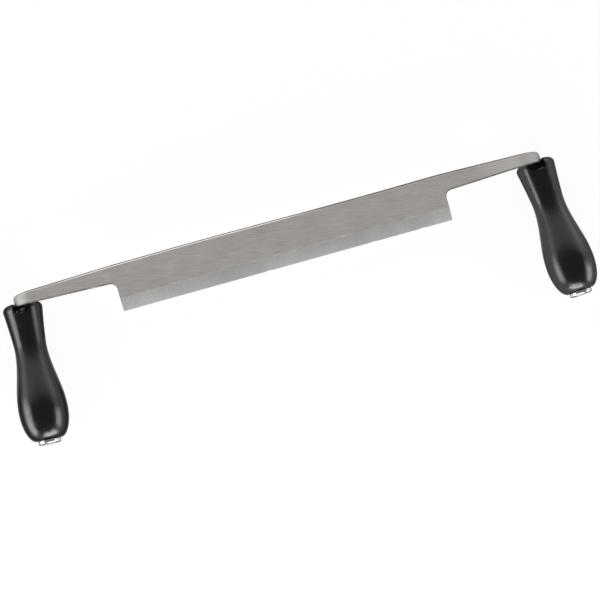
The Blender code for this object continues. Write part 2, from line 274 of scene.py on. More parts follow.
def rim_edges(bm, height, upper):
    """Edges round the blank at that height, along the spine side or along the rest."""
    found = []
    for edge in bm.edges:
        if any(abs(vert.co.z - height) > WELD for vert in edge.verts):
            continue
        sides = [face.normal for face in edge.link_faces if abs(face.normal.z) < UPRIGHT_TILT]
        middle = (edge.verts[0].co + edge.verts[1].co) / 2
        if len(sides) != 1 or past_roll(middle) > ROLL_LENGTH:
            continue
        if middle.y > BEVEL_WIDTH + SEAM_WIDTH + SHOULDER_FILLET / 2 and (sides[0].y > SPINE_SIDE) == upper:
            found.append(edge)
    return found


def split_across(bm, right, left, line):
    """Split the face between two verts along points that run from the right one to the left one."""
    face = next(face for face in right.link_faces if left in face.verts and abs(face.normal.z) > FLAT_TILT)
    before = set(bm.verts)
    bmesh.utils.face_split(face, right, left, coords=[Vector((x, y, 0.0)) for x, y in line])
    made = [vert for vert in bm.verts if vert not in before]
    return sorted(made, key=lambda vert: -vert.co.x)


def ground_blank(bm):
    """Flat blank with its bevel ground, and with the dark seam that the wheel leaves beside it."""
    seam = bm.verts.layers.float.new("seam")
    half_edge = EDGE_LENGTH / 2
    stations = [half_edge - EDGE_LENGTH * step / STATIONS for step in range(1, STATIONS)]
    right = half_blank()
    left = [Vector((-p.x, p.y)) for p in reversed(right)]
    right_bevel = bevel_line(half_edge)
    left_bevel = bevel_line(-half_edge)
    ends = [Vector((half_edge, right_bevel + SEAM_WIDTH)), Vector((half_edge, right_bevel)),
            Vector((half_edge, 0.0)), Vector((-half_edge, 0.0)),
            Vector((-half_edge, left_bevel)), Vector((-half_edge, left_bevel + SEAM_WIDTH))]
    edge_points = [Vector((x, edge_line(x))) for x in stations]
    spine_points = [Vector((x, spine_line(x))) for x in reversed(stations)]
    outline = right + ends[:3] + edge_points + ends[3:] + left + spine_points
    back = [bm.verts.new((p.x, p.y, -BLADE_THICKNESS)) for p in outline]
    front = [bm.verts.new((p.x, p.y, 0.0)) for p in outline]
    bm.faces.new(back)
    bm.faces.new(front)
    for index in range(len(outline)):
        bm.faces.new((front[index - 1], front[index], back[index], back[index - 1]))
    bmesh.ops.recalc_face_normals(bm, faces=bm.faces)

    # The front is split along the bevel's line and along the seam, and its edge is ground down.
    first = len(right)
    last = first + len(ends) + len(edge_points) - 1
    ground_line = [(x, bevel_line(x)) for x in stations]
    seam_line = [(x, y + SEAM_WIDTH) for x, y in ground_line]
    bevel_verts = split_across(bm, front[first + 1], front[last - 1], ground_line)
    seam_verts = split_across(bm, front[first], front[last], seam_line)
    edge_verts = front[first + 3:last - 2]
    for vert in front[first + 2:last - 1]:
        vert.co.z = EDGE_LAND - BLADE_THICKNESS
    for bevel_vert, seam_vert, edge_vert in zip(bevel_verts, seam_verts, edge_verts):
        bmesh.ops.connect_verts(bm, verts=[bevel_vert, edge_vert])
        bmesh.ops.connect_verts(bm, verts=[bevel_vert, seam_vert])
    for vert in [*bevel_verts, front[first + 1], front[last - 1]]:
        vert[seam] = 1.0
    bmesh.ops.recalc_face_normals(bm, faces=bm.faces)


def round_rims(bm):
    """Round the blank's rims, the spine's front one most."""
    rims = ((0.0, True, SPINE_ROUND, SPINE_STEPS), (0.0, False, RIM_ROUND, RIM_STEPS),
            (-BLADE_THICKNESS, True, BACK_ROUND, RIM_STEPS), (-BLADE_THICKNESS, False, BACK_ROUND, RIM_STEPS))
    for height, upper, size, steps in rims:
        bmesh.ops.bevel(bm, geom=rim_edges(bm, height, upper), offset=size, offset_type='OFFSET',
                        segments=steps, profile=ROUND_PROFILE, affect='EDGES', clamp_overlap=False)


def finish_slot(face):
    """Which finish a face of the flat blank has."""
    tilt = face.normal.z
    middle = face.calc_center_median()
    if abs(tilt) > FLAT_TILT:
        return FACE_SLOT
    if tilt > BEVEL_TILT and middle.y < BEVEL_WIDTH:
        return BEVEL_SLOT
    if tilt > RIM_TILT and face.normal.y > SPINE_RIM:
        return RIM_SLOT
    if abs(tilt) < UPRIGHT_TILT and middle.x < 0.0 < face.normal.x and past_roll(middle) > ROLL_LENGTH:
        return ROOT_SLOT
    return SIDE_SLOT


def leg_geometry(bm, side):
    """All of one end that lies past the roll."""
    verts = {vert for vert in bm.verts
             if vert.co.x * side > 0 and past_roll(vert.co) > ROLL_LENGTH - 10 * WELD}
    edges = [edge for edge in bm.edges if verts.issuperset(edge.verts)]
    faces = [face for face in bm.faces if verts.issuperset(face.verts)]
    return [*verts, *edges, *faces]


def divide_end(bm, side):
    """Divide one end finely across its roll, and at the top and bottom of the knuckle's foot."""
    across = Vector((side * math.cos(SPLAY), math.sin(SPLAY), 0.0))
    start = Vector((side * ROLL_LINE_X, ROLL_LINE_Y, 0.0))
    for step in range(ROLL_STEPS + 1):
        line = start + across * (ROLL_LENGTH * step / ROLL_STEPS)
        bmesh.ops.bisect_plane(bm, geom=bm.verts[:] + bm.edges[:] + bm.faces[:], dist=WELD,
                               plane_co=line, plane_no=across)
    along = tang_point(1.0, 0.0) - tang_point(0.0, 0.0)
    for down in (ROOT_END - KNUCKLE_FOOT, ROOT_END):
        foot = tang_point(down, 0.0)
        bmesh.ops.bisect_plane(bm, geom=leg_geometry(bm, side), dist=WELD,
                               plane_co=(side * foot.x, foot.y, 0.0),
                               plane_no=(side * along.x, along.y, 0.0))


def blade_mesh():
    """Ground blank with its ends rolled. Each point keeps its place on the flat blank for the finish."""
    bm = bmesh.new()
    blank = bm.verts.layers.float_vector.new("blank")
    spread = bm.loops.layers.uv.new("spread")
    ground_blank(bm)
    round_rims(bm)
    for face in bm.faces:
        face.material_index = finish_slot(face)
    for side in (1, -1):
        divide_end(bm, side)
    for vert in bm.verts:
        vert[blank] = vert.co
        for loop in vert.link_loops:
            loop[spread].uv = vert.co.xy
        vert.co = rolled(vert.co)
    bmesh.ops.recalc_face_normals(bm, faces=bm.faces)
    mesh = bpy.data.meshes.new("blade_steel")
    bm.to_mesh(mesh)
    bm.free()
    return mesh


def new_group(name, inputs, outputs):
    """Empty shader group with float or vector inputs and float outputs."""
    group = bpy.data.node_groups.new(name, 'ShaderNodeTree')
    for label, kind in inputs:
        group.interface.new_socket(label, in_out='INPUT', socket_type=kind)
    for label in outputs:
        group.interface.new_socket(label, in_out='OUTPUT', socket_type='NodeSocketFloat')
    return group, group.nodes.new('NodeGroupInput'), group.nodes.new('NodeGroupOutput')


def noise_node(tree, vector, scale, detail, roughness):
    node = tree.nodes.new('ShaderNodeTexNoise')
    node.inputs["Scale"].default_value = scale
    node.inputs["Detail"].default_value = detail
    node.inputs["Roughness"].default_value = roughness
    tree.links.new(vector, node.inputs["Vector"])
    return node.outputs["Fac"]


def math_node(tree, operation, first, second):
    node = tree.nodes.new('ShaderNodeMath')
    node.operation = operation
    for socket, value in zip(node.inputs, (first, second)):
        if isinstance(value, (int, float)):
            socket.default_value = value
        else:
            tree.links.new(value, socket)
    return node.outputs[0]


def range_node(tree, value, low, high, new_low, new_high):
    node = tree.nodes.new('ShaderNodeMapRange')
    for label, number in (("From Min", low), ("From Max", high), ("To Min", new_low), ("To Max", new_high)):
        node.inputs[label].default_value = number
    tree.links.new(value, node.inputs["Value"])
    return node.outputs["Result"]


def mix_node(tree, factor, first, second):
    """Mix two colours, each a linear triple or a socket."""
    node = tree.nodes.new('ShaderNodeMix')
    node.data_type = 'RGBA'
    tree.links.new(factor, node.inputs["Factor"])
    for socket, value in ((node.inputs[6], first), (node.inputs[7], second)):
        if isinstance(value, tuple):
            socket.default_value = (*value, 1.0)
        else:
            tree.links.new(value, socket)
    return node.outputs[2]


def shared_node(tree, first, share, second):
    """That share of the first value, with the rest from the second."""
    return math_node(tree, 'ADD', math_node(tree, 'MULTIPLY', first, share),
                     math_node(tree, 'MULTIPLY', second, 1.0 - share))


def place_node(tree, vector):
    """X, Y and Z of a vector, each as a socket."""
    node = tree.nodes.new('ShaderNodeSeparateXYZ')
    tree.links.new(vector, node.inputs["Vector"])
    return node.outputs["X"], node.outputs["Y"], node.outputs["Z"]


def turned_coordinates(tree, vector, turn):
    node = tree.nodes.new('ShaderNodeMapping')
    node.inputs["Rotation"].default_value = (0.0, 0.0, math.radians(turn))
    tree.links.new(vector, node.inputs["Vector"])
    return node.outputs["Vector"]


def bump_node(tree, height, strength, distance):
    node = tree.nodes.new('ShaderNodeBump')
    node.inputs["Strength"].default_value = strength
    node.inputs["Distance"].default_value = distance
    tree.links.new(height, node.inputs["Height"])
    return node.outputs["Normal"]


def new_material(name, metallic):
    material = bpy.data.materials.new(name)
    material.use_nodes = True
    shader = material.node_tree.nodes["Principled BSDF"]
    shader.inputs["Metallic"].default_value = metallic
    return material, material.node_tree, shader


def attribute_node(tree, name):
    node = tree.nodes.new('ShaderNodeAttribute')
    node.attribute_name = name
    return node


def object_place(tree):
    """Place on the surface in the piece's own frame."""
    return tree.nodes.new('ShaderNodeTexCoord').outputs["Object"]


def lie_of_marks(tree, shader, strength, turn):
    """Stretch the gloss across marks that run at that angle to the blade's length."""
    tangent = tree.nodes.new('ShaderNodeTangent')
    tangent.direction_type = 'UV_MAP'
    tangent.uv_map = "spread"
    tree.links.new(tangent.outputs["Tangent"], shader.inputs["Tangent"])
    shader.inputs["Anisotropic"].default_value = strength
    shader.inputs["Anisotropic Rotation"].default_value = ((turn + 90.0) % 360.0) / 360.0


# A noise is given by its scale, its detail and its roughness, and most of its values lie within its
# span. A bump is given by its strength and its depth, and tones are linear colours.
NOISE_SPAN = (0.3, 0.7)
FINE_MARKS = (1.0, 4.0, 0.65)
BROAD_MARKS = (0.27, 2.0, 0.5)
CLOUDY_PATCHES = (55.0, 3.0, 0.5)


def grind_marks_group():
    """Long marks of a grinding belt: fine ones, broad ones, and cloudy patches between them."""
    inputs = (("Coordinates", 'NodeSocketVector'), ("Along", 'NodeSocketFloat'),
              ("Across", 'NodeSocketFloat'))
    group, given, made = new_group("grind_marks", inputs, ("Fine", "Broad", "Cloud"))
    stretch = group.nodes.new('ShaderNodeCombineXYZ')
    group.links.new(given.outputs["Along"], stretch.inputs["X"])
    group.links.new(given.outputs["Across"], stretch.inputs["Y"])
    group.links.new(given.outputs["Across"], stretch.inputs["Z"])
    scaled = group.nodes.new('ShaderNodeVectorMath')
    scaled.operation = 'MULTIPLY'
    group.links.new(given.outputs["Coordinates"], scaled.inputs[0])
    group.links.new(stretch.outputs["Vector"], scaled.inputs[1])
    marks = scaled.outputs["Vector"]
    group.links.new(noise_node(group, marks, *FINE_MARKS), made.inputs["Fine"])
    group.links.new(noise_node(group, marks, *BROAD_MARKS), made.inputs["Broad"])
    cloud = noise_node(group, given.outputs["Coordinates"], *CLOUDY_PATCHES)
    group.links.new(cloud, made.inputs["Cloud"])
    return group


grind_marks = grind_marks_group()


def grind_marks_node(tree, vector, along, across):
    """Marks with a count for each metre along and across them."""
    node = tree.nodes.new('ShaderNodeGroup')
    node.node_tree = grind_marks
    node.inputs["Along"].default_value = along
    node.inputs["Across"].default_value = across
    tree.links.new(vector, node.inputs["Coordinates"])
    return node.outputs["Fine"], node.outputs["Broad"], node.outputs["Cloud"]


FACE_TURN = 11.0
FACE_MARKS = (95.0, 1150.0)
FACE_FINE_SHARE = 0.8
FACE_MARK_SHARE = 0.8
FACE_TONES = ((0.412, 0.391, 0.373), (0.588, 0.559, 0.533))
FACE_TONE_SPAN = (0.36, 0.64)
FACE_ROUGHNESS = (0.54, 0.46)
FACE_LIE = (0.35, -FACE_TURN)
FACE_BUMP = (0.06, 0.0002)
# Lighter towards the right arm's end.
RIGHT_END_REACH = (0.145, 0.180)
RIGHT_END_TONE = (0.64, 0.62, 0.595)
RIGHT_END_SHARE = 0.75
FORGED_REACH = (ROLL_LINE_X - 0.004, ROLL_LINE_X + 0.008)
FORGED_TONE = (0.27, 0.267, 0.258)
FORGED_DULLNESS = 0.10
SEAM_TONE = (0.16, 0.15, 0.14)
SEAM_DARKNESS = 0.6
SEAM_PATCHES = (160.0, 2.0, 0.6)
SEAM_PATCH_SPAN = (0.35, 0.6)
SEAM_LEAST = 0.25


def ground_face_steel():
    """Face: satin from the belt, with marks a little across the length and a dark seam by the bevel. It is
    lighter towards the right arm's end and left duller from the forge on the rolled ends."""
    material, tree, shader = new_material("ground_face_steel", 1.0)
    blank = attribute_node(tree, "blank").outputs["Vector"]
    fine, broad, cloud = grind_marks_node(tree, turned_coordinates(tree, blank, FACE_TURN), *FACE_MARKS)
    marks = shared_node(tree, fine, FACE_FINE_SHARE, broad)
    toned = shared_node(tree, marks, FACE_MARK_SHARE, cloud)
    colour = mix_node(tree, range_node(tree, toned, *FACE_TONE_SPAN, 0.0, 1.0), *FACE_TONES)
    x = place_node(tree, blank)[0]
    colour = mix_node(tree, range_node(tree, x, *RIGHT_END_REACH, 0.0, RIGHT_END_SHARE), colour, RIGHT_END_TONE)
    forged = range_node(tree, math_node(tree, 'ABSOLUTE', x, 0.0), *FORGED_REACH, 0.0, 1.0)
    colour = mix_node(tree, forged, colour, FORGED_TONE)
    seam = attribute_node(tree, "seam").outputs["Fac"]
    patches = noise_node(tree, blank, *SEAM_PATCHES)
    broken = range_node(tree, patches, *SEAM_PATCH_SPAN, SEAM_LEAST, 1.0)
    dark = math_node(tree, 'MULTIPLY', math_node(tree, 'MULTIPLY', seam, broken), SEAM_DARKNESS)
    tree.links.new(mix_node(tree, dark, colour, SEAM_TONE), shader.inputs["Base Color"])
    satin = range_node(tree, marks, *NOISE_SPAN, *FACE_ROUGHNESS)
    dullness = math_node(tree, 'MULTIPLY', forged, FORGED_DULLNESS)
    tree.links.new(math_node(tree, 'ADD', satin, dullness), shader.inputs["Roughness"])
    lie_of_marks(tree, shader, *FACE_LIE)
    tree.links.new(bump_node(tree, fine, *FACE_BUMP), shader.inputs["Normal"])
    return material


BEVEL_TURN = 88.0
BEVEL_MARKS = (190.0, 1150.0)
BEVEL_FINE_SHARE = 0.75
BEVEL_MARK_SHARE = 0.7
BEVEL_TONES = ((0.465, 0.467, 0.463), (0.72, 0.724, 0.716))
BEVEL_ROUGHNESS = (0.42, 0.35)
BEVEL_LIE = (0.65, 90.0)
BEVEL_BUMP = (0.05, 0.0002)


def ground_bevel_steel():
    """Bevel: brighter, with the wheel's marks square to the cutting edge."""
    material, tree, shader = new_material("ground_bevel_steel", 1.0)
    blank = attribute_node(tree, "blank").outputs["Vector"]
    fine, broad, cloud = grind_marks_node(tree, turned_coordinates(tree, blank, BEVEL_TURN), *BEVEL_MARKS)
    marks = shared_node(tree, fine, BEVEL_FINE_SHARE, broad)
    toned = shared_node(tree, marks, BEVEL_MARK_SHARE, cloud)
    colour = mix_node(tree, range_node(tree, toned, *NOISE_SPAN, 0.0, 1.0), *BEVEL_TONES)
    tree.links.new(colour, shader.inputs["Base Color"])
    tree.links.new(range_node(tree, marks, *NOISE_SPAN, *BEVEL_ROUGHNESS), shader.inputs["Roughness"])
    lie_of_marks(tree, shader, *BEVEL_LIE)
    tree.links.new(bump_node(tree, fine, *BEVEL_BUMP), shader.inputs["Normal"])
    return material


SCALE_GRIT = (900.0, 4.0, 0.7)
# Near black: mill scale, and also painted shade that makes the rims read as dark lines.
SCALE_AND_SHADE_TONES = ((0.016, 0.0158, 0.0152), (0.055, 0.054, 0.052))
SCALE_GLOSS = 0.2
SCALE_ROUGHNESS = (0.66, 0.50)
SCALE_BUMP = (0.25, 0.0003)
FRONT_FROM = (-0.0009, -0.0006)
UPPER_FROM = (0.0275, 0.0285)
WORN_TONE = (0.22, 0.21, 0.198)
WORN_PATCHES = (240.0, 3.0, 0.6)
WORN_SPAN = (0.36, 0.66)
MIDDLE_REACH = (-0.02, 0.02)
# Less wear on the right half paints shade along the right lower rims.
RIGHT_SHADED_WEAR = 0.4
ARM_END_WEAR = 0.9


def sheared_side_steel():
    """Sides: rough with the mill's scale and coloured near black, which also paints shade so that the rims
    read as dark lines. The scale is worn off in patches along the front of the lower rims, less on the right
    half, which paints the right lower rims in shade, and rubbed off along the front of the right arm's upper
    one."""
    material, tree, shader = new_material("sheared_side_steel", 0.0)
    shader.inputs["Specular IOR Level"].default_value = SCALE_GLOSS
    blank = attribute_node(tree, "blank").outputs["Vector"]
    grit = noise_node(tree, blank, *SCALE_GRIT)
    scale = mix_node(tree, grit, *SCALE_AND_SHADE_TONES)
    x, y, z = place_node(tree, blank)
    front = range_node(tree, z, *FRONT_FROM, 0.0, 1.0)
    lower = math_node(tree, 'MULTIPLY', range_node(tree, y, *UPPER_FROM, 1.0, 0.0), front)
    # Painted shade: the right half keeps more dark scale along its lower rims.
    shaded_rightward = range_node(tree, x, *MIDDLE_REACH, 1.0, RIGHT_SHADED_WEAR)
    patches = range_node(tree, noise_node(tree, blank, *WORN_PATCHES), *WORN_SPAN, 0.0, 1.0)
    worn = math_node(tree, 'MULTIPLY', math_node(tree, 'MULTIPLY', lower, shaded_rightward), patches)
    upper = math_node(tree, 'MULTIPLY', range_node(tree, y, *UPPER_FROM, 0.0, 1.0), front)
    rubbed = math_node(tree, 'MULTIPLY', upper, range_node(tree, x, *RIGHT_END_REACH, 0.0, ARM_END_WEAR))
    worn = math_node(tree, 'MAXIMUM', worn, rubbed)
    tree.links.new(worn, shader.inputs["Metallic"])
    tree.links.new(mix_node(tree, worn, scale, WORN_TONE), shader.inputs["Base Color"])
    tree.links.new(range_node(tree, grit, *NOISE_SPAN, *SCALE_ROUGHNESS), shader.inputs["Roughness"])
    tree.links.new(bump_node(tree, grit, *SCALE_BUMP), shader.inputs["Normal"])
    return material


RIM_MARKS = (50.0, 2500.0)
# Near-white tones: a painted highlight along the left half of the spine.
RIM_HIGHLIGHT_TONES = ((0.72, 0.71, 0.69), (0.98, 0.97, 0.95))
# Duller tones: painted shade where that highlight fades, towards the left arm's end and on the right half.
RIM_ARM_SHADED_TONE = (0.50, 0.475, 0.453)
RIM_ARM_SHADED_REACH = (-0.150, -0.175)
RIM_SHADED_TONE = (0.26, 0.25, 0.235)
RIM_SHADED_REACH = (0.005, 0.035)
RIM_ROUGHNESS = (0.36, 0.24)
RIM_BUMP = (0.08, 0.0001)


def rim_steel_painted_highlight():
    """Rims: rounded over by hand on a fine belt. Their near-white colour along the left half of the spine is
    a painted highlight, and the duller colour towards the left arm's end and on the right half is painted
    shade where it fades."""
    material, tree, shader = new_material("rim_steel_painted_highlight", 1.0)
    blank = attribute_node(tree, "blank").outputs["Vector"]
    fine, broad, _ = grind_marks_node(tree, blank, *RIM_MARKS)
    x = place_node(tree, blank)[0]
    # Painted highlight, fading into painted shade towards the left arm's end and on the right half.
    bright = mix_node(tree, fine, *RIM_HIGHLIGHT_TONES)
    bright = mix_node(tree, range_node(tree, x, *RIM_ARM_SHADED_REACH, 0.0, 1.0), bright, RIM_ARM_SHADED_TONE)
    dull = range_node(tree, x, *RIM_SHADED_REACH, 0.0, 1.0)
    tree.links.new(mix_node(tree, dull, bright, RIM_SHADED_TONE), shader.inputs["Base Color"])
    tree.links.new(range_node(tree, broad, *NOISE_SPAN, *RIM_ROUGHNESS), shader.inputs["Roughness"])
    tree.links.new(bump_node(tree, fine, *RIM_BUMP), shader.inputs["Normal"])
    return material


ROOT_METAL = 0.6
ROOT_TEARS = (480.0, 2.0, 0.6)
# Near-white specks: painted glints.
ROOT_GLINT_TONES = ((0.10, 0.095, 0.085), (0.98, 0.96, 0.91))
ROOT_GLINT_SPAN = (0.44, 0.56)
ROOT_ROUGHNESS = (0.45, 0.28)
ROOT_BUMP = (1.0, 0.0030)


def root_steel_painted_glints():
    """Root of the left tang, where it shows in the notch: torn rough by the shear, with near-white specks of
    colour that are painted glints.
    """
    material, tree, shader = new_material("root_steel_painted_glints", ROOT_METAL)
    blank = attribute_node(tree, "blank").outputs["Vector"]
    torn = noise_node(tree, blank, *ROOT_TEARS)
    # Painted glints: specks of near-white colour.
    painted_glints = range_node(tree, torn, *ROOT_GLINT_SPAN, 0.0, 1.0)
    tree.links.new(mix_node(tree, painted_glints, *ROOT_GLINT_TONES), shader.inputs["Base Color"])
    tree.links.new(range_node(tree, torn, *NOISE_SPAN, *ROOT_ROUGHNESS), shader.inputs["Roughness"])
    tree.links.new(bump_node(tree, torn, *ROOT_BUMP), shader.inputs["Normal"])
    return material


RIVET_DENTS = (700.0, 2.0, 0.5)
RIVET_TONES = ((0.34, 0.335, 0.33), (0.60, 0.59, 0.58))
RIVET_ROUGHNESS = (0.42, 0.26)
RIVET_BUMP = (0.35, 0.0004)


def riveted_end_steel():
    """Rivet: hammered out and dressed flush, so faintly dimpled."""
    material, tree, shader = new_material("riveted_end_steel", 1.0)
    dents = noise_node(tree, object_place(tree), *RIVET_DENTS)
    tree.links.new(mix_node(tree, dents, *RIVET_TONES), shader.inputs["Base Color"])
    tree.links.new(range_node(tree, dents, *NOISE_SPAN, *RIVET_ROUGHNESS), shader.inputs["Roughness"])
    tree.links.new(bump_node(tree, dents, *RIVET_BUMP), shader.inputs["Normal"])
    return material


blade_finishes = [ground_face_steel(), ground_bevel_steel(), sheared_side_steel(), rim_steel_painted_highlight(),
                  root_steel_painted_glints(), riveted_end_steel()]
blade = placed_object("drawknife_blade", blade_mesh(), tool_frame)
for finish in blade_finishes:
    blade.data.materials.append(finish)
SPIGOT_PROFILE = ((0.0, SPIGOT_LENGTH - TANG_END), (SPIGOT_RADIUS, SPIGOT_LENGTH - TANG_END),
                  (SPIGOT_RADIUS, RIVET_DEPTH - WASHER_BOTTOM), (RIVET_RADIUS, -WASHER_BOTTOM),
                  (RIVET_RADIUS / 2, -WASHER_BOTTOM), (0.0, -WASHER_BOTTOM))
spigots = []
for side in (-1, 1):
    spigot = placed_object("spigot", turned("spigot", SPIGOT_PROFILE, SPIGOT_STEPS), handle_frame(side))
    spigot.data.materials.append(blade_finishes[RIVET_SLOT])
    spigots.append(spigot)
combine(blade, spigots, 'UNION')
flat_shading(blade, BLADE_SHARP)
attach(blade, "root")
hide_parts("blade")

# Handles: two turned wooden handles in black lacquer, one for each hand. Each has a notch in its top
# for the rolled end of the arm, opening with a rounded lip, and a slot right through for the tang.
CROWN_RADIUS = 0.0147
CROWN_ROUND = 0.004
NECK_RADIUS = 0.0119
NECK_AT = 0.0325
NECK_HOLLOW = 1.3
BELLY_RADIUS = 0.0181
BELLY_AT = 0.080
BUTT_RADIUS = 0.0088
NOTCH_WIDTH = 0.0126
NOTCH_ROUND = 0.003
RELIEF_BACK = 0.004
LIP_START = 0.0120
LIP_ROUND = 0.0024
LIP_STEPS = 8
NOTCH_GAP = 0.0004
NOTCH_OUTER = BLADE_THICKNESS / 2 + KNUCKLE + NOTCH_GAP
NOTCH_INNER = NOTCH_WIDTH - NOTCH_OUTER
CROWN_STEPS = 12
NECK_STEPS = 24
BELLY_STEPS = 40
BUTT_STEPS = 28
HANDLE_STEPS = 112
HANDLE_SHARP = 40


def handle_profile():
    """Half outline of a handle, from the crown's middle down to the butt's."""
    points = [(0.0, 0.0)]
    for step in range(CROWN_STEPS + 1):
        turn = math.pi / 2 * step / CROWN_STEPS
        points.append((CROWN_RADIUS - CROWN_ROUND * (1 - math.sin(turn)), CROWN_ROUND * (math.cos(turn) - 1)))
    for step in range(1, NECK_STEPS + 1):
        part = step / NECK_STEPS
        points.append((NECK_RADIUS + (CROWN_RADIUS - NECK_RADIUS) * (1 - part) ** NECK_HOLLOW,
                       -CROWN_ROUND - (NECK_AT - CROWN_ROUND) * part))
    for step in range(1, BELLY_STEPS + 1):
        part = step / BELLY_STEPS
        points.append((NECK_RADIUS + (BELLY_RADIUS - NECK_RADIUS) * (1 - math.cos(math.pi * part)) / 2,
                       -NECK_AT - (BELLY_AT - NECK_AT) * part))
    for step in range(1, BUTT_STEPS + 1):
        turn = math.pi / 2 * step / BUTT_STEPS
        points.append((BUTT_RADIUS + (BELLY_RADIUS - BUTT_RADIUS) * math.cos(turn),
                       -BELLY_AT - (HANDLE_LENGTH - BELLY_AT) * math.sin(turn)))
    return [*points, (0.0, -HANDLE_LENGTH)]


def block(name, sections):
    """Closed block through outlines in X and Z, given with their places along Y from back to front."""
    bm = bmesh.new()
    rings = [[bm.verts.new((p.x, y, p.y)) for p in outline] for y, outline in sections]
    bm.faces.new(rings[0])
    bm.faces.new(rings[-1])
    for back, front in zip(rings, rings[1:]):
        for index in range(len(back)):
            bm.faces.new((back[index - 1], back[index], front[index], front[index - 1]))
    bmesh.ops.recalc_face_normals(bm, faces=bm.faces)
    mesh = bpy.data.meshes.new(name)
    bm.to_mesh(mesh)
    bm.free()
    return mesh


def relief_outline(side, flare):
    """Outline of the notch's shallow part: its floor is rounded up to the inner wall."""
    outer = -side * (NOTCH_OUTER + flare)
    inner = side * (NOTCH_INNER + flare)
    floor_end = Vector((outer, -NOTCH_DEPTH - flare))
    corner = Vector((inner, -NOTCH_DEPTH - flare))
    wall_top = Vector((inner, CROWN_ROUND))
    return [Vector((outer, CROWN_ROUND)), floor_end,
            *corner_arc(floor_end, corner, wall_top, NOTCH_ROUND + flare), wall_top]


def relief_block(side):
    """Shape of the notch's shallow part, which clears the roll and opens with a rounded lip."""
    sections = [(RELIEF_BACK, relief_outline(side, 0.0))]
    for step in range(LIP_STEPS + 1):
        turn = math.pi / 2 * step / LIP_STEPS
        flare = LIP_ROUND * (1 - math.cos(turn))
        sections.append((LIP_START + LIP_ROUND * math.sin(turn), relief_outline(side, flare)))
    return block("relief", [*sections, (CROWN_RADIUS + CROWN_ROUND, relief_outline(side, LIP_ROUND))])


def pocket_block(side):
    """Shape of the notch's deep part, in which the tang's root sits."""
    outer = -side * NOTCH_OUTER
    inner = side * (BLADE_THICKNESS / 2 + NOTCH_GAP)
    outline = [Vector((outer, CROWN_ROUND)), Vector((outer, -NOTCH_DEPTH)), Vector((inner, -NOTCH_DEPTH)),
               Vector((inner, CROWN_ROUND))]
    return block("pocket", [(-ROOT_WIDTH / 2 - SEAT_GAP, outline), (CROWN_RADIUS, outline)])


def slot_block():
    """Shape of the tang's slot, right through the handle."""
    half = BLADE_THICKNESS / 2 + SEAT_GAP
    low = -HANDLE_LENGTH - CROWN_ROUND
    outline = [Vector((-half, low)), Vector((half, low)), Vector((half, CROWN_ROUND)),
               Vector((-half, CROWN_ROUND))]
    return block("slot", [(-TANG_WIDTH / 2 - SEAT_GAP, outline), (TANG_WIDTH / 2 + SEAT_GAP, outline)])


LACQUER_TONES = ((0.0016, 0.0016, 0.0017), (0.0034, 0.0034, 0.0035))
LACQUER_CLOUDS = (70.0, 2.0, 0.5)
LACQUER_PEEL = (850.0, 2.0, 0.5)
LACQUER_ROUGHNESS = (0.15, 0.24)
LACQUER_BUMP = (0.60, 0.0003)
LACQUER_GLOSS = 0.5
OUTLINE_GLOSS = (0.09, 0.016)
GRIP_MIDDLE = 0.048
GRIP_REACH = (0.008, 0.022)
GRAIN = (900.0, 4.0, 0.6)
GRAIN_STRETCH = (1.0, 1.0, 0.05)
GRAIN_IN_GLOSS = 0.5
GRAIN_IN_SURFACE = 0.3


def black_lacquer(hand, fade_start, fade_end):
    """Several coats of black lacquer, satin, through which the wood's grain still shows a little. Its gloss
    fades towards the outline, least about the middle of the grip."""
    material, tree, shader = new_material(hand + "_black_lacquer", 0.0)
    place = object_place(tree)
    lengthwise = tree.nodes.new('ShaderNodeMapping')
    lengthwise.inputs["Scale"].default_value = GRAIN_STRETCH
    tree.links.new(place, lengthwise.inputs["Vector"])
    grain = noise_node(tree, lengthwise.outputs["Vector"], *GRAIN)
    peel = noise_node(tree, place, *LACQUER_PEEL)
    cloud = noise_node(tree, place, *LACQUER_CLOUDS)
    tree.links.new(mix_node(tree, cloud, *LACQUER_TONES), shader.inputs["Base Color"])
    dull = shared_node(tree, grain, GRAIN_IN_GLOSS, cloud)
    tree.links.new(range_node(tree, dull, *NOISE_SPAN, *LACQUER_ROUGHNESS), shader.inputs["Roughness"])
    glance = tree.nodes.new('ShaderNodeLayerWeight')
    from_middle = math_node(tree, 'ADD', place_node(tree, place)[2], GRIP_MIDDLE)
    least = range_node(tree, math_node(tree, 'ABSOLUTE', from_middle, 0.0), *GRIP_REACH, *OUTLINE_GLOSS)
    fade = range_node(tree, glance.outputs["Facing"], fade_start, fade_end, 0.0, 1.0)
    drop = math_node(tree, 'MULTIPLY', fade, math_node(tree, 'SUBTRACT', LACQUER_GLOSS, least))
    gloss = math_node(tree, 'SUBTRACT', LACQUER_GLOSS, drop)
    tree.links.new(gloss, shader.inputs["Specular IOR Level"])
    surface = shared_node(tree, grain, GRAIN_IN_SURFACE, peel)
    tree.links.new(bump_node(tree, surface, *LACQUER_BUMP), shader.inputs["Normal"])
    return material


WOOD_PORES = (1300.0, 3.0, 0.6)
WOOD_TONES = ((0.008, 0.008, 0.008), (0.034, 0.031, 0.028))
WOOD_ROUGHNESS = (0.85, 0.70)
WOOD_BUMP = (0.4, 0.0004)
WOOD_GLOSS = 0.15


def stained_wood():
    """Bare wood inside the notch and the slot, stained black and dull."""
    material, tree, shader = new_material("stained_wood", 0.0)
    pores = noise_node(tree, object_place(tree), *WOOD_PORES)
    tree.links.new(mix_node(tree, pores, *WOOD_TONES), shader.inputs["Base Color"])
    tree.links.new(range_node(tree, pores, *NOISE_SPAN, *WOOD_ROUGHNESS), shader.inputs["Roughness"])
    tree.links.new(bump_node(tree, pores, *WOOD_BUMP), shader.inputs["Normal"])
    shader.inputs["Specular IOR Level"].default_value = WOOD_GLOSS
    return material


